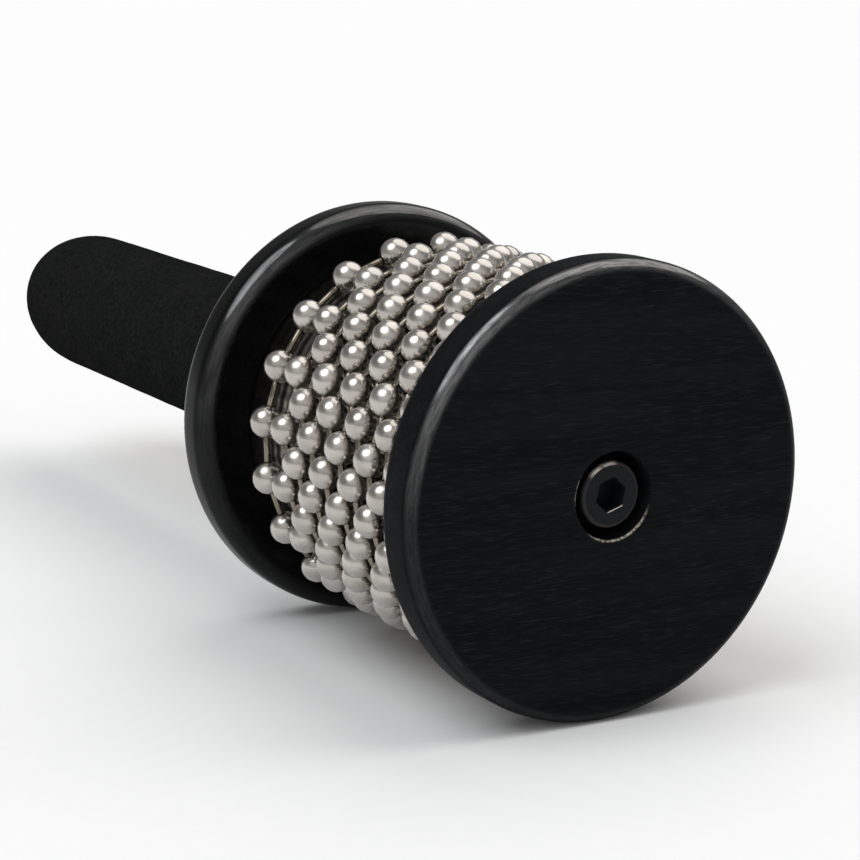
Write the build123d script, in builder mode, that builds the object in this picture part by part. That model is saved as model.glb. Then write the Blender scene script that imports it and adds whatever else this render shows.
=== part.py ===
from build123d import *
import os
from math import cos, radians, sin

# Cabasa: loops of ball chain that turn on a metal-clad wooden drum between two discs,
# with a foam-covered handle. It lies on its discs: +Y runs from the front disc towards
# the handle, +Z is up, and the origin is on the floor under the middle of the length.
# Sizes are in millimetres and angles in degrees.

# Discs
disc_diameter = 90.0
front_disc_thickness = 11.0
front_disc_rounding = 3.0
rear_disc_thickness = 11.0
rear_disc_rounding = 4.0

# Ball chain: hollow beads, joined by wires whose swollen heads are trapped inside them
bead_diameter = 6.9
bead_wall = 0.5
beads_per_loop = 20
link_diameter = 1.6
link_play = 0.15
head_play = 0.1

# Loops: a nested bunch behind the front disc, and one loose loop behind the bunch
nested_loops = 9
nested_spacing = 5.73
rear_loop_step = 8.72
front_slack = 1.1
rear_slack = 12.15
bead_angle = 155.0
loops_in_step = 6
loop_lag = 0.35
running_gap = 0.5

# Drum: a wooden core in a rolled steel sheet with an open seam underneath
drum_diameter = 67.6
sheet_thickness = 0.5
sheet_fit = 0.05
sheet_end_gap = 0.3
seam_width = 0.8
seam_angle = 270.0

# Register of the front disc in the core
spigot_diameter = 40.0
spigot_length = 6.0
spigot_fit = 0.1
spigot_end_gap = 0.3

# Centre screw with its washer, M8 with a 6 mm hex socket
thread_diameter = 8.0
screw_length = 60.0
screw_play = 0.3
head_diameter = 13.0
head_height = 8.0
head_rounding = 0.8
head_recess = 0.9
hex_across_flats = 6.0
hex_depth = 4.5
hex_angle = 18.5
tip_chamfer = 1.0
washer_diameter = 16.0
washer_thickness = 1.6
counterbore_play = 0.5

# Threaded insert in the end of the tenon
insert_diameter = 12.0
insert_length = 18.0
insert_chamfer = 0.8
thread_engagement = 15.0
thread_play = 0.05

# Handle: a wooden dowel with a tenon, in a foam sleeve with a closed domed end
dowel_diameter = 24.0
dowel_end_rounding = 5.0
tenon_diameter = 18.0
tenon_fit = 0.1
tenon_end_gap = 0.5
grip_diameter = 35.8
grip_length = 174.0
grip_dome_length = 28.0
grip_end_wall = 16.0
grip_fit = 0.05
grip_gap = 0.3
grip_edge_rounding = 2.0

# Pins that keep the discs from turning on the core
pin_diameter = 6.0
pin_depth = 7.0
pins_per_disc = 2
pin_circle_diameter = 53.0
pin_angle = 45.0
pin_fit = 0.05
pin_end_gap = 0.25

# Radii
disc_radius = disc_diameter / 2
bead_radius = bead_diameter / 2
cavity_radius = bead_radius - bead_wall
drum_radius = drum_diameter / 2
core_radius = drum_radius - sheet_thickness - sheet_fit
loop_radius = drum_radius + running_gap + bead_radius
spigot_radius = spigot_diameter / 2
screw_hole_radius = thread_diameter / 2 + screw_play
tenon_radius = tenon_diameter / 2
dowel_radius = dowel_diameter / 2
grip_radius = grip_diameter / 2
pin_hole_radius = pin_diameter / 2 + pin_fit
pin_hole_depth = pin_depth + pin_end_gap

# Stations along the axis, counted from the front disc's outer face
first_loop = front_disc_thickness + front_slack + bead_radius
last_nested_loop = first_loop + (nested_loops - 1) * nested_spacing
rear_loop = last_nested_loop + rear_loop_step
rear_disc_front = rear_loop + bead_radius + rear_slack
rear_disc_back = rear_disc_front + rear_disc_thickness
head_seat = head_recess + head_height
counterbore_depth = head_seat + washer_thickness
spigot_end = front_disc_thickness + spigot_length
screw_tip = head_seat + screw_length
tenon_front = screw_tip - thread_engagement
grip_front = rear_disc_back + grip_gap
overall_length = grip_front + grip_length
dowel_end = overall_length - grip_end_wall
dome_start = overall_length - grip_dome_length

# One bead step round a loop: its angle, the chord between bead centres, and a link's reach
bead_step = 360 / beads_per_loop
half_step = bead_step / 2
bead_pitch = 2 * loop_radius * sin(radians(half_step))
chord_radius = loop_radius * cos(radians(half_step))
head_radius = (cavity_radius - head_play) / 2 - head_play
head_offset = cavity_radius - head_play - head_radius
link_span = bead_pitch - 2 * head_offset

# The shared axis, and a plane through it whose x is the station and whose y is the radius
front_y = -overall_length / 2
axis_height = disc_radius
section = Plane(origin=(0, front_y, axis_height), x_dir=(0, 1, 0), z_dir=(1, 0, 0))
turning_axis = Axis((0, front_y, axis_height), (0, 1, 0))


def across(station):
    """Plane square to the axis, facing the front, with x to the right and y up."""
    return Plane(origin=(0, front_y + station, axis_height), x_dir=(1, 0, 0), z_dir=(0, -1, 0))


def band(start, end, inner, outer, mode=Mode.ADD):
    """Rectangle of the turned profile between two stations and two radii."""
    with Locations(((start + end) / 2, (inner + outer) / 2)):
        Rectangle(end - start, outer - inner, mode=mode)


def pin_circles(radius):
    """The circles of one disc's pins."""
    with PolarLocations(pin_circle_diameter / 2, pins_per_disc, pin_angle):
        Circle(radius)


def save(builder, name):
    """Label a finished piece and write it."""
    builder.part.label = name
    export_step(builder.part, f"parts/{name}.step")


os.makedirs("parts", exist_ok=True)

# Front disc with its register, counterbored for the screw
with BuildPart() as front_disc:
    with BuildSketch(section):
        band(0, front_disc_thickness, 0, disc_radius)
        band(front_disc_thickness, spigot_end, 0, spigot_radius)
    revolve(axis=turning_axis)
    rim = front_disc.edges().filter_by(GeomType.CIRCLE).group_by(SortBy.RADIUS)[-1]
    fillet(rim, front_disc_rounding)
    with Locations(across(0)):
        CounterBoreHole(screw_hole_radius, washer_diameter / 2 + counterbore_play, counterbore_depth)
    with BuildSketch(across(front_disc_thickness)):
        pin_circles(pin_hole_radius)
    extrude(amount=pin_hole_depth, mode=Mode.SUBTRACT)
save(front_disc, "front_disc")

# Rear disc, which the tenon passes through
with BuildPart() as rear_disc:
    with BuildSketch(section):
        band(rear_disc_front, rear_disc_back, tenon_radius + tenon_fit, disc_radius)
    revolve(axis=turning_axis)
    rim = rear_disc.edges().filter_by(GeomType.CIRCLE).group_by(SortBy.RADIUS)[-1]
    fillet(rim, rear_disc_rounding)
    with BuildSketch(across(rear_disc_front)):
        pin_circles(pin_hole_radius)
    extrude(amount=-pin_hole_depth, mode=Mode.SUBTRACT)
save(rear_disc, "rear_disc")

# Drum core, with a recess for the register, a hole for the screw and a bore for the tenon
with BuildPart() as drum_core:
    with BuildSketch(section):
        band(front_disc_thickness, rear_disc_front, 0, core_radius)
        band(front_disc_thickness, rear_disc_front, 0, screw_hole_radius, Mode.SUBTRACT)
        band(front_disc_thickness, spigot_end + spigot_end_gap, 0, spigot_radius + spigot_fit, Mode.SUBTRACT)
        band(tenon_front - tenon_end_gap, rear_disc_front, 0, tenon_radius + tenon_fit, Mode.SUBTRACT)
    revolve(axis=turning_axis)
    with BuildSketch(across(front_disc_thickness)):
        pin_circles(pin_hole_radius)
    extrude(amount=-pin_hole_depth, mode=Mode.SUBTRACT)
    with BuildSketch(across(rear_disc_front)):
        pin_circles(pin_hole_radius)
    extrude(amount=pin_hole_depth, mode=Mode.SUBTRACT)
save(drum_core, "drum_core")

# Steel sheet rolled round the core, open at its seam
with BuildPart() as drum_sleeve:
    with BuildSketch(section):
        band(
            front_disc_thickness + sheet_end_gap,
            rear_disc_front - sheet_end_gap,
            core_radius + sheet_fit,
            drum_radius,
        )
    revolve(axis=turning_axis)
    with BuildSketch(across(front_disc_thickness)):
        with PolarLocations(drum_radius, 1, seam_angle):
            Rectangle(4 * sheet_thickness, seam_width)
    extrude(amount=front_disc_thickness - rear_disc_front, mode=Mode.SUBTRACT)
save(drum_sleeve, "drum_sleeve")

# Pins, half in a disc and half in the core
for pin_name, joint_station in (("front_dowel_pins", front_disc_thickness), ("rear_dowel_pins", rear_disc_front)):
    with BuildPart() as pins:
        with BuildSketch(across(joint_station)):
            pin_circles(pin_diameter / 2)
        extrude(amount=pin_depth, both=True)
    save(pins, pin_name)

# Socket head screw
with BuildPart() as centre_screw:
    with BuildSketch(section):
        band(head_recess, head_seat, 0, head_diameter / 2)
        band(head_seat, screw_tip, 0, thread_diameter / 2)
    revolve(axis=turning_axis)
    ends = centre_screw.edges().filter_by(GeomType.CIRCLE).sort_by(Axis.Y)
    fillet(ends[0], head_rounding)
    chamfer(ends[-1], tip_chamfer)
    with BuildSketch(across(head_recess)):
        RegularPolygon(hex_across_flats / 2, 6, major_radius=False, rotation=hex_angle)
    extrude(amount=-hex_depth, mode=Mode.SUBTRACT)
save(centre_screw, "centre_screw")

# Washer at the bottom of the counterbore
with BuildPart() as screw_washer:
    with BuildSketch(section):
        band(head_seat, counterbore_depth, screw_hole_radius, washer_diameter / 2)
    revolve(axis=turning_axis)
save(screw_washer, "screw_washer")

# Insert that the screw pulls on
with BuildPart() as threaded_insert:
    with BuildSketch(section):
        band(tenon_front, tenon_front + insert_length, thread_diameter / 2 + thread_play, insert_diameter / 2)
    revolve(axis=turning_axis)
    outside = threaded_insert.edges().filter_by(GeomType.CIRCLE).group_by(SortBy.RADIUS)[-1]
    chamfer(outside, insert_chamfer)
save(threaded_insert, "threaded_insert")

# Handle dowel, whose shoulder bears on the rear disc
with BuildPart() as handle_dowel:
    with BuildSketch(section):
        band(tenon_front, rear_disc_back, 0, tenon_radius)
        band(rear_disc_back, dowel_end, 0, dowel_radius)
        band(tenon_front, tenon_front + insert_length, 0, insert_diameter / 2, Mode.SUBTRACT)
    revolve(axis=turning_axis)
    far_edge = handle_dowel.edges().filter_by(GeomType.CIRCLE).sort_by(Axis.Y)[-1]
    fillet(far_edge, dowel_end_rounding)
save(handle_dowel, "handle_dowel")

# Foam grip: a sleeve on the dowel with a long dome over its end
with BuildPart() as grip_sleeve:
    with BuildSketch(section):
        with BuildLine():
            dome = EllipticalCenterArc((dome_start, 0), grip_dome_length, grip_radius, 0, arc_size=90)
            Polyline(
                dome @ 1,
                (grip_front, grip_radius),
                (grip_front, dowel_radius + grip_fit),
                (dowel_end + grip_fit, dowel_radius + grip_fit),
                (dowel_end + grip_fit, 0),
                dome @ 0,
            )
        make_face()
    revolve(axis=turning_axis)
    front_edges = grip_sleeve.edges().filter_by(GeomType.CIRCLE).group_by(Axis.Y)[0]
    fillet(front_edges.sort_by(SortBy.RADIUS)[-1], grip_edge_rounding)
save(grip_sleeve, "grip_sleeve")

# Loops of ball chain, from the front. Neighbours in the bunch sit half a bead step apart,
# the loose loop at the rear lines up with the last of the bunch, and each loop behind
# the first six lags a little more.
loop_places = []
for place in range(nested_loops):
    turned_half = (nested_loops - 1 - place) % 2
    loop_places.append((first_loop + place * nested_spacing, bead_angle + turned_half * half_step))
loop_places.append((rear_loop, bead_angle))

# One bead, with a hole towards each of its neighbours: x points outwards and y along the loop
with BuildPart() as bead:
    Sphere(bead_radius)
    Sphere(cavity_radius, mode=Mode.SUBTRACT)
    for side in (1, -1):
        towards_neighbour = (-sin(radians(half_step)), side * cos(radians(half_step)), 0)
        with BuildSketch(Plane(origin=(0, 0, 0), z_dir=towards_neighbour)):
            Circle(link_diameter / 2 + link_play)
        extrude(amount=bead_diameter, mode=Mode.SUBTRACT)

# One link along y, with a swollen head at each end
with BuildPart() as link:
    Cylinder(link_diameter / 2, link_span, rotation=(90, 0, 0))
    with Locations((0, link_span / 2, 0), (0, -link_span / 2, 0)):
        Sphere(head_radius)

for number, (station, angle) in enumerate(loop_places, start=1):
    angle += loop_lag * max(0, number - loops_in_step)
    with BuildPart(across(station)) as loop_beads:
        with PolarLocations(loop_radius, beads_per_loop, angle):
            add(bead.part)
    save(loop_beads, f"loop_{number:02d}_beads")

    with BuildPart(across(station)) as loop_links:
        with PolarLocations(chord_radius, beads_per_loop, angle + half_step):
            add(link.part)
    save(loop_links, f"loop_{number:02d}_links")

print(f"overall length {overall_length:.2f}, drum length {rear_disc_front - front_disc_thickness:.2f}")
print(f"loop radius {loop_radius:.2f}, bead pitch {bead_pitch:.2f}, link heads {2 * head_radius:.2f}")
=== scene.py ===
# %% [markdown]
# A cabasa and its finishes
#
# A cabasa is a hand percussion instrument: loops of steel ball chain lie round a drum clad in
# pressed sheet steel, between two black wooden discs, and a foam grip covers the handle. The
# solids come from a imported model, which is loaded as a fixed frame. Everything here is built
# round that frame, in metres, and takes its sizes from it, so that no piece needs fitting.

# %% Load the frame
from math import cos, pi, radians, sin
import bmesh
import bpy
from mathutils import Matrix, Vector, noise


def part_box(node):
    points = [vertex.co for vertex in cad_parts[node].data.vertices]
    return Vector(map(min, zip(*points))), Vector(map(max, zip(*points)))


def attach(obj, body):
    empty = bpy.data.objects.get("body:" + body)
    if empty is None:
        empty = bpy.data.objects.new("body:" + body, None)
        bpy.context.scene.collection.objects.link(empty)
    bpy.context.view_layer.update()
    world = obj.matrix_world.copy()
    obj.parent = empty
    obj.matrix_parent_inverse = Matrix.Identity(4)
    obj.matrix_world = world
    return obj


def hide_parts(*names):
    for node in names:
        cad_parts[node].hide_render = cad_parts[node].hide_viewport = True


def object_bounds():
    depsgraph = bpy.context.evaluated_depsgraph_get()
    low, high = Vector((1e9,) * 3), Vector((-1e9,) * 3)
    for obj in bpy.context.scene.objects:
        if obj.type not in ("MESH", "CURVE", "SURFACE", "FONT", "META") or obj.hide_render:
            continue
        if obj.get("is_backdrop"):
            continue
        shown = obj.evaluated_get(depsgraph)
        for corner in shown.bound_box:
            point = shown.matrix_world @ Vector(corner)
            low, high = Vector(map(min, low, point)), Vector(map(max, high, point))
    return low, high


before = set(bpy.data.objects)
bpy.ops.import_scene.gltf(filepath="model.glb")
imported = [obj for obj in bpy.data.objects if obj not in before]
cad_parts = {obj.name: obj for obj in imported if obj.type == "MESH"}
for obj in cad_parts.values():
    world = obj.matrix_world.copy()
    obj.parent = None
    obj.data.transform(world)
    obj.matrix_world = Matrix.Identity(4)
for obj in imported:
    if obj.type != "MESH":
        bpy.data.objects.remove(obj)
cad_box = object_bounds()
mm = 0.001

# %% [markdown]
# Measure the frame
#
# All the turned pieces share one axis, which runs along Y from the front disc to the grip. A
# place along it is called a station here. Stations and radii are read from the boxes of the
# solids, and only the sizes that a box can't tell, such as a rounding, are written as numbers.

# %% Read sizes from the solids
front_low, front_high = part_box("front_disc")
rear_low, rear_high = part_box("rear_disc")
screw_low, screw_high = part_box("centre_screw")
washer_low, washer_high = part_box("screw_washer")
sleeve_low, sleeve_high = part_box("drum_sleeve")
grip_low, grip_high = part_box("grip_sleeve")
dowel_low, dowel_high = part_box("handle_dowel")
axis_height = (front_low.z + front_high.z) / 2
disc_radius = (front_high.x - front_low.x) / 2
drum_radius = (sleeve_high.x - sleeve_low.x) / 2
front_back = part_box("drum_core")[0].y
print(f"disc radius {disc_radius / mm:.2f} mm, drum radius {drum_radius / mm:.2f} mm")

# %% [markdown]
# Sums on sockets
#
# A finish is a web of nodes, and most of its nodes only add and multiply. Wiring those by hand
# hides the idea, so a socket is wrapped in a small class whose operators add the Math nodes.
# Any other node comes from one method, which takes the node's type, its settings and its
# sockets. The same two classes serve for materials and for Geometry Nodes.

# %% A socket that does sums
class Wire:
    """An output socket. Each sum or product with it adds one Math node to its tree."""

    def __init__(self, graph, socket):
        self.graph = graph
        self.socket = socket

    def math(self, operation, *values):
        sockets = dict(enumerate(values))
        return self.graph.node("ShaderNodeMath", {"operation": operation}, sockets)["Value"]

    def __add__(self, other):
        return self.math("ADD", self, other)

    def __radd__(self, other):
        return self.math("ADD", other, self)

    def __sub__(self, other):
        return self.math("SUBTRACT", self, other)

    def __rsub__(self, other):
        return self.math("SUBTRACT", other, self)

    def __mul__(self, other):
        return self.math("MULTIPLY", self, other)

    def __rmul__(self, other):
        return self.math("MULTIPLY", other, self)

    def __truediv__(self, other):
        return self.math("DIVIDE", self, other)

    def __rtruediv__(self, other):
        return self.math("DIVIDE", other, self)


# %% A tree that is filled by one method
class Graph:
    """A node tree that is filled by one method."""

    def __init__(self, tree):
        self.tree = tree

    def plug(self, socket, value):
        if isinstance(value, Wire):
            self.tree.links.new(value.socket, socket)
        else:
            socket.default_value = value

    def node(self, kind, settings=None, sockets=None):
        """Add a node, set it up, fill its sockets, and return its outputs by name and identifier."""
        made = self.tree.nodes.new(kind)
        for name, value in (settings or {}).items():
            if name == "stops":
                self.set_stops(made.color_ramp.elements, value)
            else:
                setattr(made, name, value)
        inputs = {socket.name: socket for socket in reversed(made.inputs)}
        inputs.update({socket.identifier: socket for socket in made.inputs})
        inputs.update(enumerate(made.inputs))
        for name, value in (sockets or {}).items():
            self.plug(inputs[name], value)
        outputs = {socket.name: Wire(self, socket) for socket in reversed(made.outputs)}
        outputs.update({socket.identifier: Wire(self, socket) for socket in made.outputs})
        return outputs

    def set_stops(self, elements, stops):
        while len(elements) < len(stops):
            elements.new(1.0)
        for element, (place, shade) in zip(elements, stops):
            element.position = place
            element.color = shade

    def between(self, value, low, high):
        """Value mapped smoothly from low..high to 0..1."""
        sockets = {"Value": value, "From Min": low, "From Max": high}
        return self.node("ShaderNodeMapRange", {"interpolation_type": "SMOOTHSTEP"}, sockets)["Result"]

    def mixed(self, factor, first, second):
        """A colour between two colours."""
        sockets = {"Factor_Float": factor, "A_Color": first, "B_Color": second}
        return self.node("ShaderNodeMix", {"data_type": "RGBA"}, sockets)["Result_Color"]

    def along(self, vector, direction):
        """How far a vector reaches in a direction."""
        pair = {0: vector, 1: direction}
        return self.node("ShaderNodeVectorMath", {"operation": "DOT_PRODUCT"}, pair)["Value"]


# %% Colours and finishes
def colour(red, green, blue):
    """A display colour, 0 to 255, as the linear colour that a socket takes."""
    linear = []
    for share in (red / 255, green / 255, blue / 255):
        linear.append(share / 12.92 if share <= 0.04045 else ((share + 0.055) / 1.055) ** 2.4)
    return (*linear, 1.0)


def grey(level):
    """A neutral linear colour."""
    return (level, level, level, 1.0)


class Finish(Graph):
    """A material with one Principled shader, and the place on the surface to make patterns from."""

    def __init__(self, name):
        self.material = bpy.data.materials.new(name)
        self.material.use_nodes = True
        super().__init__(self.material.node_tree)
        self.shader = self.tree.nodes["Principled BSDF"]
        self.place = self.node("ShaderNodeTexCoord")["Object"]

    def stretched(self, x, y, z):
        """The place with each direction scaled, so that a pattern is drawn out along the small one."""
        return self.node("ShaderNodeMapping", {}, {"Vector": self.place, "Scale": (x, y, z)})["Vector"]

    def speckle(self, vector, scale, detail=3.0, roughness=0.5):
        """Soft noise from 0 to 1."""
        sockets = {"Vector": vector, "Scale": scale, "Detail": detail, "Roughness": roughness}
        return self.node("ShaderNodeTexNoise", {}, sockets)["Fac"]

    def round_axis(self, station):
        """The arm from the axis to the place, its length, and the place's depth behind a station."""
        flattened = {0: self.place, 1: (1.0, 0.0, 1.0), 2: (0.0, 0.0, -axis_height)}
        arm = self.node("ShaderNodeVectorMath", {"operation": "MULTIPLY_ADD"}, flattened)["Vector"]
        radius = self.node("ShaderNodeVectorMath", {"operation": "LENGTH"}, {0: arm})["Value"]
        return arm, radius, self.along(self.place, (0.0, 1.0, 0.0)) - station

    def towards(self, arm, radius, side):
        """How far an arm from the axis points to a side: 1 straight at it, 0 square to it."""
        return self.along(arm, side) / radius

    def lathe_streaks(self, arm, radius, depth, scale, stretch):
        """Noise that is drawn out round the axis, as a lathe leaves it. Its seam is underneath."""
        sides = self.node("ShaderNodeSeparateXYZ", {}, {"Vector": arm})
        angle = sides["X"].math("ARCTAN2", sides["X"], sides["Z"])
        unrolled = {"X": angle * radius * stretch, "Y": radius, "Z": depth}
        spot = self.node("ShaderNodeCombineXYZ", {}, unrolled)["Vector"]
        return self.speckle(spot, scale, roughness=0.6)

    def bump(self, height, depth, strength):
        """A normal bent by a height from 0 to 1, where 1 stands depth metres proud."""
        sockets = {"Height": height, "Distance": depth, "Strength": strength}
        return self.node("ShaderNodeBump", {}, sockets)["Normal"]

    def surface(self, sockets):
        """Set or link sockets of the shader."""
        for name, value in sockets.items():
            self.plug(self.shader.inputs[name], value)
        print(f"finish {self.material.name}: {len(self.tree.nodes)} nodes")
        return self.material


# %% [markdown]
# Meshes from rings
#
# The discs, the screw and the grip are turned on a lathe or moulded round. Blender's Spin or a
# Screw modifier could make them, but here a mesh is drawn straight through rings of points,
# because then a ring can also be a hexagon, or be roughened, before the next one is joined on.

# %% Helpers for turned pieces
def on_axis(station, radius, angle):
    """A point at a station, a distance from the axis and an angle in radians from +X towards +Z."""
    return Vector((radius * cos(angle), station, axis_height + radius * sin(angle)))


def arc(station, radius, size, start, end, steps=8):
    """Points of an outline's arc: its middle, its size, and its angles from the axis in degrees."""
    points = []
    for step in range(steps + 1):
        angle = radians(start + (end - start) * step / steps)
        points.append((station + size * cos(angle), radius + size * sin(angle)))
    return points


def turned(outline, sides, start=0.0):
    """Rings of points for an outline of stations and radii."""
    angles = [start + 2 * pi * side / sides for side in range(sides)]
    return [[on_axis(station, radius, angle) for angle in angles] for station, radius in outline]


def noise_share(spot, smoothness, octaves):
    """Noise at a spot, from about 0 to 1. Each octave is twice as fine as the one before."""
    return 0.5 + 0.5 * noise.fractal(spot, smoothness, 2.0, octaves)


def skin(name, rings, ends_meet=False, crease=35):
    """A closed mesh through rings of points. The end rings are joined to each other or capped."""
    shell = bmesh.new()
    loops = [[shell.verts.new(point) for point in ring] for ring in rings]
    pairs = list(zip(loops, loops[1:]))
    if ends_meet:
        pairs.append((loops[-1], loops[0]))
    else:
        shell.faces.new(loops[0])
        shell.faces.new(loops[-1])
    for one, two in pairs:
        for place in range(len(one)):
            shell.faces.new((one[place - 1], one[place], two[place], two[place - 1]))
    bmesh.ops.recalc_face_normals(shell, faces=shell.faces)
    mesh = bpy.data.meshes.new(name)
    shell.to_mesh(mesh)
    shell.free()
    mesh.shade_smooth()
    mesh.set_sharp_from_angle(angle=radians(crease))
    return mesh


def piece(name, mesh, material):
    """An object in the scene with one material."""
    made = bpy.data.objects.new(name, mesh)
    bpy.context.scene.collection.objects.link(made)
    mesh.materials.clear()
    mesh.materials.append(material)
    print(f"piece {name}: {len(mesh.polygons)} faces")
    return made


def stand_for(made, body, slot, *nodes):
    """Let a piece ride on a body and stand for solids, which are hidden. The slot is not used."""
    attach(made, body)
    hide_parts(*nodes)


# %% [markdown]
# Front disc
#
# The front disc is wood under thin satin black paint. The paint follows the pores, so the face
# shows fine level streaks. On the rounded edge it has dried to a shine, which is rubbed dull
# except on top, and the marks of the lathe draw the highlight out into streaks. The counterbore
# was cut after painting, and its edge is torn all round. A narrow broken line of pale, almost
# white wood colour lies only on its lower and left part, where the edge faces the light: partly
# bare wood, partly a painted highlight. Streaks could be modelled, but they are finer than a mesh
# needs to hold, so they are colour, coat and bump. The torn edge is real: three rings of points
# are pushed about by noise.

# %% Satin black paint
counterbore_play = 0.5 * mm
counterbore_radius = (washer_high.x - washer_low.x) / 2 + counterbore_play
torn_width = 0.55 * mm
torn_depth = 0.35 * mm
front_rounding = 3 * mm
shiny_side = (-0.3, 0.0, 0.95)
# The pale wood colour on the counterbore's edge lies towards these two sides: partly bare wood, partly a
# painted highlight.
torn_and_lit_side = (0.27, 0.0, -0.96)
chipped_and_lit_side = (-0.98, 0.0, 0.2)


def edge_shine(paint, arm, radius, depth, rounding):
    """The shine of the paint on the front rounding of a disc: 1 on top, and less underneath."""
    outside = paint.between(radius, disc_radius - 1.3 * rounding, disc_radius - 1.1 * rounding)
    begins = paint.between(depth, 0.0, 0.12 * rounding)
    ends = 1 - paint.between(depth, 0.4 * rounding, 0.75 * rounding)
    upper = paint.between(paint.towards(arm, radius, shiny_side), 0.25, 0.8)
    return outside * begins * ends * (0.1 + 0.9 * upper)


def make_satin_paint():
    paint = Finish("satin_black_paint")
    arm, radius, depth = paint.round_axis(front_low.y)
    pores = paint.speckle(paint.stretched(0.07, 1.0, 1.0), scale=3400.0, detail=4.0, roughness=0.6)
    boards = paint.speckle(paint.stretched(0.05, 1.0, 1.0), scale=300.0)
    streaks = paint.lathe_streaks(arm, radius, depth, scale=2600.0, stretch=0.1)
    grains = paint.speckle(paint.place, scale=3600.0, detail=2.0, roughness=0.6)
    open_pores = paint.between(pores, 0.48, 0.72)
    face = paint.mixed(paint.between(boards, 0.35, 0.7), colour(15, 16, 17), colour(21, 22, 24))
    face = paint.mixed(open_pores, face, colour(29, 31, 34))
    fray = paint.speckle(paint.place, scale=1500.0, detail=4.0, roughness=0.7)
    beyond_bore = radius - counterbore_radius
    near_edge = 1 - paint.between(beyond_bore, torn_width * 0.3, torn_width * (0.5 + 1.2 * fray))
    shallow = 1 - paint.between(depth, torn_depth * 0.4, torn_depth)
    inside = paint.between(beyond_bore, -0.05 * mm, 0.0)
    # Near-white wood colour only on the lower and left part of the torn edge, where it faces the light:
    # partly bare wood, partly a painted highlight.
    below = paint.between(paint.towards(arm, radius, torn_and_lit_side), 0.5, 0.92)
    left = paint.between(paint.towards(arm, radius, chipped_and_lit_side), 0.93, 0.99)
    broken = paint.between(fray, 0.36, 0.56)
    pale_edge_and_highlight = near_edge * shallow * inside * broken * (below + left * 0.6)
    fibres = paint.speckle(paint.place, scale=4000.0)
    pale_wood_and_highlight_colour = paint.mixed(fibres, colour(118, 111, 99), colour(224, 217, 202))
    shine = edge_shine(paint, arm, radius, depth, front_rounding)
    height = open_pores * 0.5 + grains * 0.5
    return paint.surface({
        "Base Color": paint.mixed(pale_edge_and_highlight, face, pale_wood_and_highlight_colour),
        "Roughness": 0.4 + 0.1 * grains + 0.35 * pale_edge_and_highlight,
        "Specular IOR Level": 0.02,
        "Coat Weight": shine * (0.45 + 0.55 * paint.between(streaks, 0.35, 0.6)),
        "Coat Roughness": 0.22,
        "Coat IOR": 2.4,
        "Normal": paint.bump(height, depth=0.05 * mm, strength=0.45),
    })


satin_paint = make_satin_paint()

# %% Front disc with its torn counterbore
spigot_radius = 20 * mm
screw_hole_radius = 4.3 * mm
holding = 0.5 * mm
disc_sides = 288
tear_scale = 900
layer_shift = 7.3


def torn(ring, layer, reach):
    """Push a ring of the counterbore's edge about, by noise that follows the ring."""
    moved = []
    for point in ring:
        spot = (point - Vector((0, 0, axis_height))) * tear_scale + Vector((0, layer * layer_shift, 0))
        outward = Vector((point.x, 0, point.z - axis_height)).normalized()
        moved.append(point + outward * noise_share(spot, smoothness=0.8, octaves=4) * reach)
    return moved


front_outline = [
    (washer_high.y, screw_hole_radius),
    (washer_high.y, counterbore_radius),
    (front_low.y + 3 * torn_depth, counterbore_radius),
    (front_low.y + torn_depth, counterbore_radius),
    (front_low.y + 0.3 * torn_depth, counterbore_radius + 0.15 * torn_width),
    (front_low.y, counterbore_radius + 0.5 * torn_width),
    (front_low.y, counterbore_radius + 3 * torn_width),
    (front_low.y, disc_radius - front_rounding - holding),
    *arc(front_low.y + front_rounding, disc_radius - front_rounding, front_rounding, 180, 90, steps=12),
    *arc(front_back - front_rounding, disc_radius - front_rounding, front_rounding, 90, 0, steps=12),
    (front_back, disc_radius - front_rounding - holding),
    (front_back, spigot_radius),
    (front_high.y, spigot_radius),
    (front_high.y, screw_hole_radius),
]
front_rings = turned(front_outline, disc_sides)
for layer, reach in ((3, 0.1 * torn_width), (4, 0.5 * torn_width), (5, 0.7 * torn_width)):
    front_rings[layer] = torn(front_rings[layer], layer, reach)
front_disc = piece("front_disc_painted", skin("front_disc_painted", front_rings, True), satin_paint)
stand_for(front_disc, "handle_and_drum", "satin_black_wood", "front_disc")

# %% [markdown]
# Rear disc
#
# The rear disc is turned to the same diameter, with a larger rounding and a glossier paint. A
# lower roughness alone would grey the whole face, so a clear coat over a dark base gives the sharp
# reflection: thin on the flat, full on the front rounding, and streaked there by the lathe. A faint
# bump roughens the paint below the coat.

# %% Gloss black paint and the rear disc
rear_rounding = 4 * mm
tenon_hole_radius = 9.1 * mm


def make_gloss_paint():
    paint = Finish("gloss_black_paint")
    arm, radius, depth = paint.round_axis(rear_low.y)
    ripple = paint.speckle(paint.stretched(0.25, 1.0, 1.0), scale=900.0, roughness=0.55)
    grains = paint.speckle(paint.place, scale=3000.0, detail=2.0)
    streaks = paint.lathe_streaks(arm, radius, depth, scale=1800.0, stretch=0.1)
    shine = edge_shine(paint, arm, radius, depth, rear_rounding)
    return paint.surface({
        "Base Color": paint.mixed(ripple, colour(5, 6, 6), colour(10, 11, 12)),
        "Roughness": 0.2 + 0.12 * grains,
        "Specular IOR Level": 0.06,
        "Coat Weight": 0.06 + shine * (0.4 + 0.5 * paint.between(streaks, 0.3, 0.65)),
        "Coat Roughness": 0.12,
        "Coat IOR": 1.85,
        "Normal": paint.bump(ripple * 0.7 + grains * 0.3, depth=0.03 * mm, strength=0.35),
    })


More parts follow.
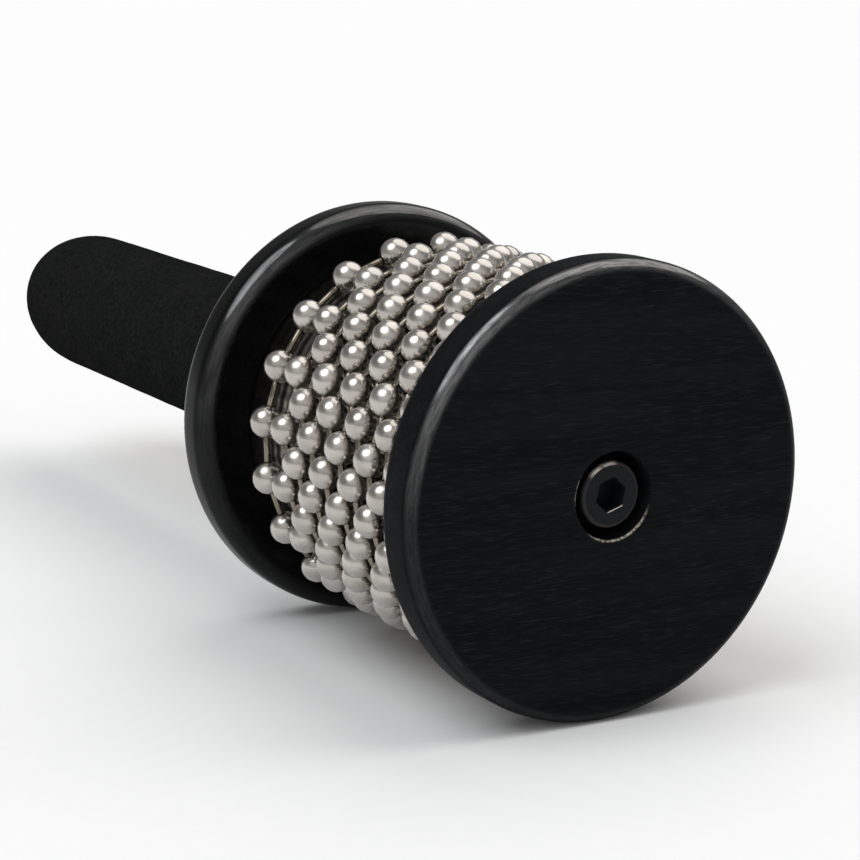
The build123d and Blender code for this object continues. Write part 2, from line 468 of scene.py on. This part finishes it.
rear_outline = [
    (rear_low.y, tenon_hole_radius),
    (rear_low.y, disc_radius - rear_rounding - holding),
    *arc(rear_low.y + rear_rounding, disc_radius - rear_rounding, rear_rounding, 180, 90, steps=12),
    *arc(rear_high.y - rear_rounding, disc_radius - rear_rounding, rear_rounding, 90, 0, steps=12),
    (rear_high.y, disc_radius - rear_rounding - holding),
    (rear_high.y, tenon_hole_radius),
]
rear_rings = turned(rear_outline, disc_sides)
rear_disc = piece("rear_disc_painted", skin("rear_disc_painted", rear_rings, True), make_gloss_paint())
stand_for(rear_disc, "handle_and_drum", "gloss_black_wood", "rear_disc")

# %% [markdown]
# Centre screw
#
# A socket head screw holds the instrument together. Its black oxide is a thin, slightly blue
# conversion coat on steel, dull on the flat. Bright bare steel lies on a stretch of the rim on the
# upper left and on one edge of the socket, low on the right, only on the sides where the light
# falls: partly wear, partly a painted highlight. A mask that knows the place on the head lays it.
# The hexagon is just another ring of points, each pushed out to the nearest of six flats, so the
# socket joins the round head without any cutting.

# %% Black oxide and the screw
hex_across_flats = 6 * mm
hex_depth = 4.5 * mm
hex_mouth = 0.15 * mm
hex_turn = radians(18.5)
head_height = 8 * mm
head_rounding = 0.8 * mm
head_holding = 0.3 * mm
thread_radius = 4 * mm
tip_chamfer = 1 * mm
head_radius = (screw_high.x - screw_low.x) / 2
head_seat = screw_low.y + head_height
screw_sides = 96
# Sides of the rim and of the socket where bright bare steel is laid: partly wear, partly a painted
# highlight.
wear_and_highlight_rim_side = (-0.36, 0.0, 0.93)
wear_and_highlight_flat_side = (0.35, 0.0, -0.94)


def make_black_oxide():
    oxide = Finish("black_oxide")
    arm, radius, depth = oxide.round_axis(screw_low.y)
    cloud = oxide.speckle(oxide.place, scale=700.0)
    grit = oxide.speckle(oxide.place, scale=5200.0, detail=2.0)
    # Bright bare steel only where the light falls on the rim and on the socket's edge: partly wear,
    # partly a painted highlight.
    on_rim = oxide.between(radius, head_radius - 0.95 * head_rounding, head_radius - 0.7 * head_rounding)
    not_deep = 1 - oxide.between(depth, 0.6 * head_rounding, head_rounding)
    upper_left = oxide.between(oxide.towards(arm, radius, wear_and_highlight_rim_side), 0.82, 0.98)
    rim_wear_and_highlight = on_rim * not_deep * (0.04 + 0.96 * upper_left * oxide.between(cloud, 0.25, 0.5))
    below_face = oxide.between(depth, 0.1 * hex_mouth, 0.3 * hex_mouth)
    in_mouth = below_face * (1 - oxide.between(depth, hex_mouth, 1.2 * hex_mouth))
    lower_flat = oxide.between(oxide.towards(arm, radius, wear_and_highlight_flat_side), 0.84, 0.9)
    near_hex = 1 - oxide.between(radius, 0.6 * head_radius, 0.65 * head_radius)
    wear_and_highlight = rim_wear_and_highlight + in_mouth * lower_flat * near_hex
    dark = oxide.mixed(cloud, colour(16, 18, 20), colour(26, 28, 31))
    return oxide.surface({
        "Base Color": oxide.mixed(wear_and_highlight, dark, colour(206, 196, 186)),
        "Metallic": wear_and_highlight,
        "Roughness": 0.34 + 0.16 * grit,
        "Specular IOR Level": 0.08,
        "Normal": oxide.bump(grit, depth=0.02 * mm, strength=0.4),
    })


def hexagon(station, across_flats):
    """A ring of points on a hexagon, with one point at each corner."""
    sixth = pi / 3
    ring = []
    for side in range(screw_sides):
        turn = 2 * pi * side / screw_sides
        from_flat = turn % sixth - sixth / 2
        ring.append(on_axis(station, across_flats / 2 / cos(from_flat), hex_turn + turn))
    return ring


screw_outline = [
    (screw_low.y, head_radius - head_rounding - head_holding),
    *arc(screw_low.y + head_rounding, head_radius - head_rounding, head_rounding, 180, 90, steps=6),
    (head_seat, head_radius),
    (head_seat, thread_radius),
    (screw_high.y - tip_chamfer, thread_radius),
    (screw_high.y, thread_radius - tip_chamfer),
]
screw_rings = [
    hexagon(screw_low.y + hex_depth, hex_across_flats),
    hexagon(screw_low.y + hex_mouth, hex_across_flats),
    hexagon(screw_low.y, hex_across_flats + 2 * hex_mouth),
    *turned(screw_outline, screw_sides, hex_turn),
]
black_oxide = make_black_oxide()
screw = piece("centre_screw_black", skin("centre_screw_black", screw_rings), black_oxide)
stand_for(screw, "handle_and_drum", "black_oxide_steel", "centre_screw")

# %% [markdown]
# One tree for everything on a ring
#
# A loop of ball chain is one bead and one link, each repeated twenty times round a circle. Copies
# made in a Python loop would do, but a Geometry Nodes tree says it better: points on a circle, one
# shape on each point, turned to face outwards. The shape is the object's own mesh, so the same tree
# lays beads and links. The result is made a plain mesh, because instances are lost on export.

# %% A Geometry Nodes tree with named inputs
class Layout(Graph):
    """A Geometry Nodes tree whose inputs are set by name and whose result becomes a plain mesh."""

    def __init__(self, name, inputs):
        super().__init__(bpy.data.node_groups.new(name, "GeometryNodeTree"))
        self.identifiers = {}
        for label, kind in {"Geometry": "Geometry", **inputs}.items():
            socket_type = "NodeSocket" + kind
            socket = self.tree.interface.new_socket(label, in_out="INPUT", socket_type=socket_type)
            self.identifiers[label] = socket.identifier
        self.tree.interface.new_socket("Geometry", in_out="OUTPUT", socket_type="NodeSocketGeometry")
        self.given = self.node("NodeGroupInput")

    def end(self, geometry):
        """Make instances real, give them their finish and hand them out."""
        real = self.node("GeometryNodeRealizeInstances", {}, {"Geometry": geometry})["Geometry"]
        dressed = {"Geometry": real, "Material": self.given["Finish"]}
        finished = self.node("GeometryNodeSetMaterial", {}, dressed)["Geometry"]
        self.node("NodeGroupOutput", {}, {"Geometry": finished})

    def build(self, name, mesh, values, thickness=0.0):
        """Run the tree on a mesh and return an object with the plain result."""
        made = bpy.data.objects.new(name, mesh)
        bpy.context.scene.collection.objects.link(made)
        layout = made.modifiers.new("layout", "NODES")
        layout.node_group = self.tree
        for label, value in values.items():
            layout[self.identifiers[label]] = value
        if thickness:
            wall = made.modifiers.new("wall", "SOLIDIFY")
            wall.thickness = thickness
            wall.offset = -1.0
        now = bpy.context.evaluated_depsgraph_get()
        result = bpy.data.meshes.new_from_object(made.evaluated_get(now), depsgraph=now)
        made.modifiers.clear()
        made.data = result
        result.name = name
        print(f"piece {name}: {len(result.polygons)} faces")
        return made


def make_ring_layout():
    inputs = {
        "Count": "Int",
        "Ring Radius": "Float",
        "Start Angle": "Float",
        "Station": "Float",
        "Axis Height": "Float",
        "Wander": "Float",
        "Seed": "Int",
        "Finish": "Material",
    }
    ring = Layout("shapes_on_a_ring", inputs)
    given = ring.given
    index = ring.node("GeometryNodeInputIndex")["Index"]
    angle = given["Start Angle"] + index * (2 * pi / given["Count"])
    wander = ring.node(
        "FunctionNodeRandomValue",
        {"data_type": "FLOAT"},
        {"Min_001": given["Wander"] * -1.0, "Max_001": given["Wander"], "Seed": given["Seed"]},
    )["Value_001"]
    place = {
        "X": given["Ring Radius"] * angle.math("COSINE", angle),
        "Y": given["Station"] + wander,
        "Z": given["Axis Height"] + given["Ring Radius"] * angle.math("SINE", angle),
    }
    spot = ring.node("ShaderNodeCombineXYZ", {}, place)["Vector"]
    turn = ring.node("ShaderNodeCombineXYZ", {}, {"Y": angle * -1.0})["Vector"]
    points = ring.node("GeometryNodePoints", {}, {"Count": given["Count"], "Position": spot})["Geometry"]
    laid = {"Points": points, "Instance": given["Geometry"], "Rotation": turn}
    ring.end(ring.node("GeometryNodeInstanceOnPoints", {}, laid)["Instances"])
    return ring


ring_layout = make_ring_layout()

# %% [markdown]
# Beads and links
#
# Each bead is a hollow steel ball with two small holes, and a straight link runs from hole to
# hole. The chain bends at every bead, so the two holes lean a little towards the drum: the rings
# of the bead are turned by an angle that grows towards each hole. Two hundred beads are the
# surface that everyone looks at, and each has just enough faces for a round outline. The plating
# is a slightly warm nickel. One roughness gives either a mirror or a haze, and the real beads show
# both, so a soft metal lies under a sharp clear coat. Shallow dents in the metal keep its soft
# highlight from being a perfect circle. The wires of the links are darker, with no coat.

# %% Nickel plate and wire
def make_nickel():
    nickel = Finish("nickel_plate")
    haze = nickel.between(nickel.speckle(nickel.place, scale=200.0), 0.3, 0.7)
    dents = nickel.speckle(nickel.place, scale=420.0, detail=1.0)
    return nickel.surface({
        "Base Color": nickel.mixed(haze, colour(166, 159, 151), colour(188, 182, 175)),
        "Metallic": 1.0,
        "Roughness": 0.24 + 0.08 * haze,
        "Coat Weight": 1.0,
        "Coat Roughness": 0.05,
        "Coat IOR": 1.9,
        "Normal": nickel.bump(dents, depth=0.2 * mm, strength=0.6),
    })


def make_wire():
    wire = Finish("steel_wire")
    haze = wire.speckle(wire.place, scale=500.0)
    return wire.surface({
        "Base Color": wire.mixed(haze, colour(118, 110, 98), colour(142, 134, 122)),
        "Metallic": 1.0,
        "Roughness": 0.14 + 0.1 * haze,
    })


nickel = make_nickel()
steel_wire = make_wire()

# %% One bead and one link
beads_per_loop = 20
bead_low, bead_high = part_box("loop_01_beads")
bead_radius = (bead_high.y - bead_low.y) / 2
running_gap = 0.5 * mm
loop_radius = drum_radius + running_gap + bead_radius
half_step = pi / beads_per_loop
link_radius = 0.8 * mm
hole_radius = 0.95 * mm
hole_depth = 0.5 * mm
bead_sides = 20
bead_rings = 11
link_sides = 12
link_length = 2 * loop_radius * sin(half_step) - 2 * bead_radius + 4 * hole_depth


def ring_across(radius, height, sides):
    """A flat ring round the local Z axis, which runs along the chain."""
    ring = []
    for side in range(sides):
        angle = 2 * pi * side / sides
        ring.append(Vector((radius * cos(angle), radius * sin(angle), height)))
    return ring


def bead_mesh():
    """A ball with a shallow round recess where each link goes in."""
    hole_rise = (bead_radius**2 - hole_radius**2) ** 0.5
    hole_angle = (pi / 2) - Vector((hole_radius, hole_rise)).angle(Vector((0, 1)))
    rings = [ring_across(0.85 * hole_radius, hole_rise - hole_depth, bead_sides)]
    for step in range(bead_rings):
        angle = hole_angle - 2 * hole_angle * step / (bead_rings - 1)
        rings.append(ring_across(bead_radius * cos(angle), bead_radius * sin(angle), bead_sides))
    rings.append(ring_across(0.85 * hole_radius, hole_depth - hole_rise, bead_sides))
    for ring in rings:
        lean = Matrix.Rotation(-half_step * ring[0].z / bead_radius, 4, "Y")
        for point in ring:
            point.rotate(lean)
    return skin("bead", rings, crease=50)


def link_mesh():
    """A straight wire with slightly rounded ends inside the beads."""
    half = link_length / 2
    outline = [(0.6, half), (1.0, 0.9 * half), (1.0, -0.9 * half), (0.6, -half)]
    rings = [ring_across(share * link_radius, height, link_sides) for share, height in outline]
    return skin("link", rings, crease=50)


one_bead = bead_mesh()
one_link = link_mesh()
print(f"bead {len(one_bead.polygons)} faces, link {len(one_link.polygons)} faces")

# %% Ten loops of chain
loops = 10
nested_loops = 9
first_bead = radians(155)
loops_in_step = 6
loop_lag = radians(0.35)
wander = 0.12 * mm
for number in range(1, loops + 1):
    name = f"loop_{number:02d}"
    low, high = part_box(name + "_beads")
    turned_half = number <= nested_loops and (nested_loops - number) % 2
    start = first_bead + half_step * turned_half + loop_lag * max(0, number - loops_in_step)
    values = {
        "Count": beads_per_loop,
        "Station": (low.y + high.y) / 2,
        "Axis Height": axis_height,
        "Seed": number,
    }
    around = {"Ring Radius": loop_radius, "Start Angle": start, "Wander": wander, "Finish": nickel}
    beads = ring_layout.build(name + "_balls", one_bead, {**values, **around})
    stand_for(beads, name, "nickel_plate", name + "_beads")
    between = {"Ring Radius": loop_radius * cos(half_step), "Start Angle": start + half_step}
    between.update({"Wander": 0.0, "Finish": steel_wire})
    links = ring_layout.build(name + "_wires", one_link, {**values, **between})
    stand_for(links, name, "nickel_plate", name + "_links")

# %% [markdown]
# Drum sheet
#
# The beads rasp on a thin steel sheet that is rolled round the drum, with its two edges almost
# meeting underneath. Such sheets are pressed with a close lattice of dimples to make them rasp.
# The dimples follow a rule, so Geometry Nodes bend a flat grid round the drum and sink it by a
# product of two waves that cross at a slant. A Solidify modifier then gives it its thickness.

# %% Pressed steel
def make_pressed_steel():
    steel = Finish("pressed_steel")
    stain = steel.speckle(steel.place, scale=180.0)
    brushed = steel.speckle(steel.stretched(1.0, 0.05, 1.0), scale=1800.0, roughness=0.6)
    return steel.surface({
        "Base Color": steel.mixed(stain, colour(110, 106, 100), colour(134, 130, 123)),
        "Metallic": 1.0,
        "Roughness": 0.16 + 0.14 * brushed,
        "Normal": steel.bump(brushed, depth=0.01 * mm, strength=0.3),
    })


def make_sheet_layout():
    inputs = {
        "Radius": "Float",
        "Front Edge": "Float",
        "Length": "Float",
        "Axis Height": "Float",
        "Seam Angle": "Float",
        "Seam Width": "Float",
        "Dimple Depth": "Float",
        "Dimples Round": "Int",
        "Dimples Along": "Int",
        "Points Round": "Int",
        "Points Along": "Int",
        "Finish": "Material",
    }
    sheet = Layout("pressed_sheet", inputs)
    given = sheet.given
    flat = {
        "Size X": 1.0,
        "Size Y": 1.0,
        "Vertices X": given["Points Round"],
        "Vertices Y": given["Points Along"],
    }
    grid = sheet.node("GeometryNodeMeshGrid", {}, flat)["Mesh"]
    position = sheet.node("GeometryNodeInputPosition")["Position"]
    share = sheet.node("ShaderNodeSeparateXYZ", {}, {"Vector": position})
    round_share = share["X"] + 0.5
    along_share = share["Y"] + 0.5
    seam = given["Seam Width"] / given["Radius"]
    angle = given["Seam Angle"] - seam * 0.5 - round_share * (2 * pi - seam)
    round_wave = round_share * given["Dimples Round"] * pi
    along_wave = along_share * given["Dimples Along"] * pi
    rising = round_wave + along_wave
    falling = round_wave - along_wave
    waves = rising.math("SINE", rising) * falling.math("SINE", falling)
    radius = given["Radius"] - given["Dimple Depth"] * (0.5 + 0.5 * waves)
    place = {
        "X": radius * angle.math("COSINE", angle),
        "Y": given["Front Edge"] + along_share * given["Length"],
        "Z": given["Axis Height"] + radius * angle.math("SINE", angle),
    }
    rolled = {"Geometry": grid, "Position": sheet.node("ShaderNodeCombineXYZ", {}, place)["Vector"]}
    bent = sheet.node("GeometryNodeSetPosition", {}, rolled)["Geometry"]
    smooth = sheet.node("GeometryNodeSetShadeSmooth", {}, {"Geometry": bent})["Geometry"]
    sheet.end(smooth)
    return sheet


# %% The rolled sheet
sheet_values = {
    "Radius": drum_radius,
    "Front Edge": sleeve_low.y,
    "Length": sleeve_high.y - sleeve_low.y,
    "Axis Height": axis_height,
    "Seam Angle": radians(270),
    "Seam Width": 0.8 * mm,
    "Dimple Depth": 0.28 * mm,
    "Dimples Round": 70,
    "Dimples Along": 24,
    "Points Round": 421,
    "Points Along": 97,
    "Finish": make_pressed_steel(),
}
sheet_wall = 0.22 * mm
flat_sheet = bpy.data.meshes.new("flat_sheet")
drum_sheet = make_sheet_layout().build("drum_sheet_pressed", flat_sheet, sheet_values, sheet_wall)
stand_for(drum_sheet, "handle_and_drum", "drum_sheet", "drum_sleeve")

# %% [markdown]
# Grip
#
# The grip is a moulded sleeve of closed-cell foam rubber with a domed end. It is firm and stands
# in its own shape, so no cloth needs simulating: rings of points make the sleeve, and a slow noise
# presses it in by a hair, as foam is never quite straight. Foam is matt, so its finish has no
# mirror-like share at all, and its skin is full of tiny pores, which are colour and bump.

# %% Foam rubber
def make_foam():
    foam = Finish("foam_rubber")
    pores = foam.node("ShaderNodeTexVoronoi", {}, {"Vector": foam.place, "Scale": 1500.0})["Distance"]
    skin_noise = foam.speckle(foam.place, scale=900.0, detail=4.0, roughness=0.65)
    patches = foam.speckle(foam.place, scale=90.0, detail=2.0)
    lightness = foam.between(patches * 0.2 + skin_noise * 0.8, 0.3, 0.7)
    return foam.surface({
        "Base Color": foam.mixed(lightness, colour(19, 20, 20), colour(34, 34, 35)),
        "Roughness": 0.82 + 0.1 * skin_noise,
        "Specular IOR Level": 0.0,
        "Normal": foam.bump(pores * 0.5 + skin_noise * 0.5, depth=0.12 * mm, strength=0.6),
    })


# %% The foam sleeve
grip_radius = (grip_high.x - grip_low.x) / 2
dowel_radius = (dowel_high.x - dowel_low.x) / 2
dome_length = 28 * mm
grip_edge = 2 * mm
press = 0.15 * mm
press_scale = 120
grip_sides = 120
body_rings = 60
dome_rings = 24
tip_share = 0.02
dome_start = grip_high.y - dome_length


def dome_point(step):
    """A point of the elliptical dome, from its start to just short of its tip."""
    angle = (pi / 2) * (1 - tip_share) * step / dome_rings
    return (dome_start + dome_length * sin(angle), grip_radius * cos(angle))


def foam_pressed(point):
    """Press a point in towards the axis by slow noise."""
    inward = Vector((-point.x, 0, axis_height - point.z)).normalized()
    return point + inward * press * noise_share(point * press_scale, smoothness=1.0, octaves=3)


body_start = grip_low.y + grip_edge
grip_outline = [
    (dowel_high.y, dowel_radius),
    (grip_low.y, dowel_radius),
    (grip_low.y, grip_radius - grip_edge - holding),
    *arc(body_start, grip_radius - grip_edge, grip_edge, 180, 90),
]
for step in range(1, body_rings):
    grip_outline.append((body_start + (dome_start - body_start) * step / body_rings, grip_radius))
grip_outline += [dome_point(step) for step in range(dome_rings + 1)]
grip_rings = turned(grip_outline, grip_sides)
bore_rings = 2
for place in range(bore_rings, len(grip_rings)):
    grip_rings[place] = [foam_pressed(point) for point in grip_rings[place]]
grip = piece("grip_foam", skin("grip_foam", grip_rings), make_foam())
stand_for(grip, "handle_and_drum", "foam_rubber", "grip_sleeve")

# %% [markdown]
# Inner pieces
#
# The core, the dowel, the pins, the washer and the insert are hidden when the instrument is whole.
# Their solids have the right shape, so they stay and only get a finish: turned beech with rings
# and pores for the wood, and a scratched brass for the insert.

# %% Finishes of the inner pieces
def make_beech():
    beech = Finish("turned_beech")
    waves = beech.node(
        "ShaderNodeTexWave",
        {"bands_direction": "Z"},
        {"Vector": beech.stretched(0.15, 0.15, 1.0), "Scale": 90.0, "Distortion": 3.0, "Detail": 2.0},
    )["Fac"]
    flecks = beech.speckle(beech.stretched(1.0, 0.08, 1.0), scale=900.0, roughness=0.6)
    wood = beech.mixed(waves, colour(196, 160, 118), colour(214, 182, 142))
    return beech.surface({
        "Base Color": beech.mixed(beech.between(flecks, 0.55, 0.75) * 0.5, wood, colour(150, 112, 78)),
        "Roughness": 0.6 + 0.15 * flecks,
        "Normal": beech.bump(flecks, depth=0.05 * mm, strength=0.4),
    })


def make_brass():
    brass = Finish("turned_brass")
    rings = brass.speckle(brass.stretched(0.1, 1.0, 0.1), scale=2400.0)
    return brass.surface({
        "Base Color": brass.mixed(rings, colour(186, 150, 84), colour(214, 180, 110)),
        "Metallic": 1.0,
        "Roughness": 0.22 + 0.15 * rings,
        "Normal": brass.bump(rings, depth=0.01 * mm, strength=0.3),
    })


beech = make_beech()
inner_finishes = {
    "drum_core": beech,
    "handle_dowel": beech,
    "front_dowel_pins": beech,
    "rear_dowel_pins": beech,
    "screw_washer": black_oxide,
    "threaded_insert": make_brass(),
}
for node, material in inner_finishes.items():
    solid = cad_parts[node]
    solid.data.materials.clear()
    solid.data.materials.append(material)
print(f"{len(inner_finishes)} inner pieces have a finish")

# %% [markdown]
# Camera
#
# The photograph looks down at the front disc from its left with a long lens. The place and the
# turns of the camera come from fitting the outlines of both discs and the grip.

# %% Set the camera
camera_place = Vector((-0.26081, -0.49861, 0.15216))
camera_azimuth = radians(-31.198)
camera_elevation = radians(12.09)
camera_roll = radians(1.669)
lens = 101.84

optics = bpy.data.cameras.new("camera")
optics.lens = lens
optics.sensor_width = 36.0
optics.clip_start = 0.01
optics.clip_end = 100.0
camera = bpy.data.objects.new("camera", optics)
bpy.context.scene.collection.objects.link(camera)
turns = Matrix.Rotation(camera_azimuth, 4, "Z") @ Matrix.Rotation(pi / 2 - camera_elevation, 4, "X")
camera.matrix_world = Matrix.Translation(camera_place) @ turns @ Matrix.Rotation(camera_roll, 4, "Z")
bpy.context.scene.camera = camera
print(f"camera at {[round(x, 3) for x in camera_place]}, lens {lens} mm")

# %% [markdown]
# Studio
#
# Polished beads show the studio more than themselves, so the light is built for them. A small
# round lamp high on the left and a broad one on the right make their two highlights. The room
# around them is dim overhead and lighter towards the horizon, with a pale screen on the front
# left, so that no hard line crosses a bead. Area lamps near the object would light the floor in
# patches. Sun lamps with a wide angle light it evenly, and it stays pale to the picture's edge.

# %% Floor
floor_half = 6.0
corners = [(-floor_half, -floor_half, 0), (floor_half, -floor_half, 0)]
corners += [(floor_half, floor_half, 0), (-floor_half, floor_half, 0)]
floor_mesh = bpy.data.meshes.new("floor")
floor_mesh.from_pydata(corners, [], [(0, 1, 2, 3)])


def make_paper():
    paper = Finish("white_paper")
    fibres = paper.speckle(paper.place, scale=300.0, detail=2.0)
    return paper.surface({
        "Base Color": paper.mixed(fibres, grey(0.9), grey(0.92)),
        "Roughness": 1.0,
        "Specular IOR Level": 0.0,
    })


floor = piece("floor", floor_mesh, make_paper())
floor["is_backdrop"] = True

# %% World
screen_side = (-0.52, -0.854, 0.0)
screen_level = 0.7
room = [(0.0, grey(0.6)), (0.12, grey(0.35)), (0.4, grey(0.22)), (1.0, grey(0.35))]

scene = bpy.context.scene
scene.world = bpy.data.worlds.new("studio")
scene.world.use_nodes = True
air = Graph(scene.world.node_tree)
direction = air.node("ShaderNodeTexCoord")["Generated"]
rise = air.along(direction, (0.0, 0.0, 1.0))
walls = air.node("ShaderNodeValToRGB", {"stops": room}, {"Fac": rise})["Color"]
towards_screen = air.between(air.along(direction, screen_side), 0.35, 0.8)
screen = towards_screen * air.between(rise, -0.05, 0.4)
walls = air.mixed(screen, walls, grey(screen_level))
air.plug(scene.world.node_tree.nodes["Background"].inputs["Color"], walls)
print(f"world: {len(air.tree.nodes)} nodes")


# %% Lamps
def lamp(name, towards, strength, width, shade):
    """A distant round lamp, seen from the object in a direction, with a width in degrees."""
    light = bpy.data.lights.new(name, "SUN")
    light.energy = strength
    light.angle = radians(width)
    light.color = shade
    made = bpy.data.objects.new(name, light)
    made.rotation_mode = "QUATERNION"
    made.rotation_quaternion = Vector(towards).to_track_quat("Z", "Y")
    scene.collection.objects.link(made)
    print(f"{name}: strength {strength}, {width} degrees wide")


lamp("small_lamp", towards=(-0.55, -0.03, 0.83), strength=1.36, width=44.0, shade=(0.95, 0.98, 1.0))
lamp("broad_lamp", towards=(0.5, 0.1, 0.86), strength=1.38, width=66.0, shade=(1.0, 0.98, 0.95))
scene.view_settings.view_transform = "Standard"

# %% [markdown]
# The dressing may not change the object's size.
#
# The box of the finished model is printed beside the box of the solids.

# %% Print both sizes
visual_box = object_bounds()
boxes = {
    "cad": [list(corner) for corner in cad_box],
    "visual": [list(corner) for corner in visual_box],
}
for name, (low, high) in boxes.items():
    print(name, [round(1000 * (top - bottom), 2) for bottom, top in zip(low, high)], "mm")
